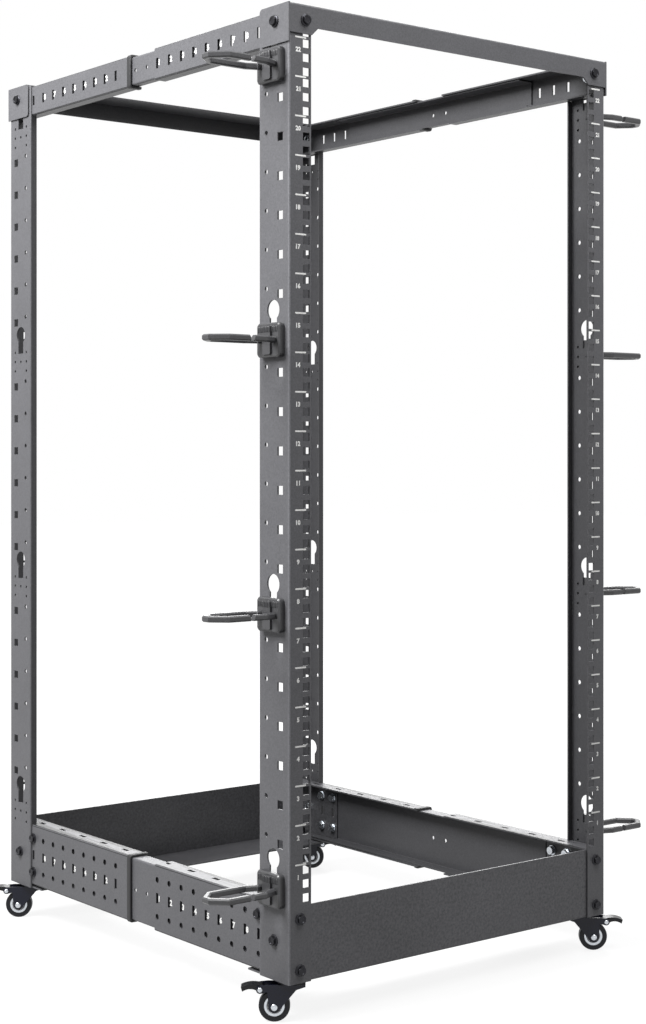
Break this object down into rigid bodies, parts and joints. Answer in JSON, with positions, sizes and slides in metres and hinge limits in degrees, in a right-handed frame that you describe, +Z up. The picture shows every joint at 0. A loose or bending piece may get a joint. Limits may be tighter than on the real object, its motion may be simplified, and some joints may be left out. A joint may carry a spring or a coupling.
{
  "type": "four post open frame rack",
  "caption": "Open frame equipment rack with four perforated posts, telescoping side rails, cable rings and swivel casters with brakes.",
  "frame": {"origin": "on the floor under the middle of the rack's plan", "axes": "+X to the rack's right as seen from its front, -Y towards the front, +Z up"},
  "size_m": [0.702, 0.6706, 1.153],
  "materials": {
    "post_powder_coat": "fine textured charcoal powder coat on folded steel",
    "beam_powder_coat": "fine textured charcoal powder coat on folded steel",
    "rail_powder_coat": "fine textured charcoal powder coat on folded steel",
    "ring_plastic": "moulded, satin",
    "caster_zinc": "zinc plated",
    "caster_fork": "pressed steel, dark blue black enamel",
    "caster_tyre": "moulded",
    "caster_hub": "moulded nylon",
    "caster_pedal": "pressed steel, black"
  },
  "bodies": {
    "frame": {"front_left_post": "post_powder_coat", "front_right_post": "post_powder_coat", "rear_left_post": "post_powder_coat", "rear_right_post": "post_powder_coat", "front_top_beam": "beam_powder_coat", "front_base_panel": "beam_powder_coat", "rear_top_beam": "beam_powder_coat", "rear_base_panel": "beam_powder_coat", "left_top_rail_front": "rail_powder_coat", "left_top_rail_rear": "rail_powder_coat", "left_base_rail_front": "rail_powder_coat", "left_base_rail_rear": "rail_powder_coat", "right_top_rail_front": "rail_powder_coat", "right_top_rail_rear": "rail_powder_coat", "right_base_rail_front": "rail_powder_coat", "right_base_rail_rear": "rail_powder_coat", "left_cable_ring_1": "ring_plastic", "left_cable_ring_2": "ring_plastic", "left_cable_ring_3": "ring_plastic", "left_cable_ring_4": "ring_plastic", "right_cable_ring_1": "ring_plastic", "right_cable_ring_2": "ring_plastic", "right_cable_ring_3": "ring_plastic", "right_cable_ring_4": "ring_plastic", "front_left_caster_mount": "caster_zinc", "front_right_caster_mount": "caster_zinc", "rear_left_caster_mount": "caster_zinc", "rear_right_caster_mount": "caster_zinc"},
    "front_left_caster_swivel": {"front_left_caster_fork": "caster_fork"},
    "front_left_caster_wheel": {"front_left_caster_tyre": "caster_tyre", "front_left_caster_hub": "caster_hub"},
    "front_left_caster_pedal": {"front_left_caster_pedal": "caster_pedal"},
    "front_right_caster_swivel": {"front_right_caster_fork": "caster_fork"},
    "front_right_caster_wheel": {"front_right_caster_tyre": "caster_tyre", "front_right_caster_hub": "caster_hub"},
    "front_right_caster_pedal": {"front_right_caster_pedal": "caster_pedal"},
    "rear_left_caster_swivel": {"rear_left_caster_fork": "caster_fork"},
    "rear_left_caster_wheel": {"rear_left_caster_tyre": "caster_tyre", "rear_left_caster_hub": "caster_hub"},
    "rear_left_caster_pedal": {"rear_left_caster_pedal": "caster_pedal"},
    "rear_right_caster_swivel": {"rear_right_caster_fork": "caster_fork"},
    "rear_right_caster_wheel": {"rear_right_caster_tyre": "caster_tyre", "rear_right_caster_hub": "caster_hub"},
    "rear_right_caster_pedal": {"rear_right_caster_pedal": "caster_pedal"}
  },
  "joints": [
    {"name": "front_left_caster_swivel", "type": "hinge", "parent": "frame", "child": "front_left_caster_swivel", "pos_m": [-0.24, -0.2965, 0.043], "axis": [0, 0, 1], "continuous": true},
    {"name": "front_left_caster_wheel_spin", "type": "hinge", "parent": "front_left_caster_swivel", "child": "front_left_caster_wheel", "pos_m": [-0.25176, -0.28719, 0.018], "axis": [-0.6205, -0.7842, 0], "continuous": true},
    {"name": "front_left_caster_brake", "type": "hinge", "parent": "front_left_caster_swivel", "child": "front_left_caster_pedal", "pos_m": [-0.26447, -0.27714, 0.0376], "axis": [-0.6205, -0.7842, 0], "range_deg": [0, 12]},
    {"name": "front_right_caster_swivel", "type": "hinge", "parent": "frame", "child": "front_right_caster_swivel", "pos_m": [0.24, -0.2965, 0.043], "axis": [0, 0, 1], "continuous": true},
    {"name": "front_right_caster_wheel_spin", "type": "hinge", "parent": "front_right_caster_swivel", "child": "front_right_caster_wheel", "pos_m": [0.25176, -0.30581, 0.018], "axis": [0.6205, 0.7842, 0], "continuous": true},
    {"name": "front_right_caster_brake", "type": "hinge", "parent": "front_right_caster_swivel", "child": "front_right_caster_pedal", "pos_m": [0.26447, -0.31586, 0.0376], "axis": [0.6205, 0.7842, 0], "range_deg": [0, 12]},
    {"name": "rear_left_caster_swivel", "type": "hinge", "parent": "frame", "child": "rear_left_caster_swivel", "pos_m": [-0.24, 0.2965, 0.043], "axis": [0, 0, 1], "continuous": true},
    {"name": "rear_left_caster_wheel_spin", "type": "hinge", "parent": "rear_left_caster_swivel", "child": "rear_left_caster_wheel", "pos_m": [-0.25176, 0.30581, 0.018], "axis": [-0.6205, -0.7842, 0], "continuous": true},
    {"name": "rear_left_caster_brake", "type": "hinge", "parent": "rear_left_caster_swivel", "child": "rear_left_caster_pedal", "pos_m": [-0.26447, 0.31586, 0.0376], "axis": [-0.6205, -0.7842, 0], "range_deg": [0, 12]},
    {"name": "rear_right_caster_swivel", "type": "hinge", "parent": "frame", "child": "rear_right_caster_swivel", "pos_m": [0.24, 0.2965, 0.043], "axis": [0, 0, 1], "continuous": true},
    {"name": "rear_right_caster_wheel_spin", "type": "hinge", "parent": "rear_right_caster_swivel", "child": "rear_right_caster_wheel", "pos_m": [0.25176, 0.28719, 0.018], "axis": [0.6205, 0.7842, 0], "continuous": true},
    {"name": "rear_right_caster_brake", "type": "hinge", "parent": "rear_right_caster_swivel", "child": "rear_right_caster_pedal", "pos_m": [0.26447, 0.27714, 0.0376], "axis": [0.6205, 0.7842, 0], "range_deg": [0, 12]}
  ]
}
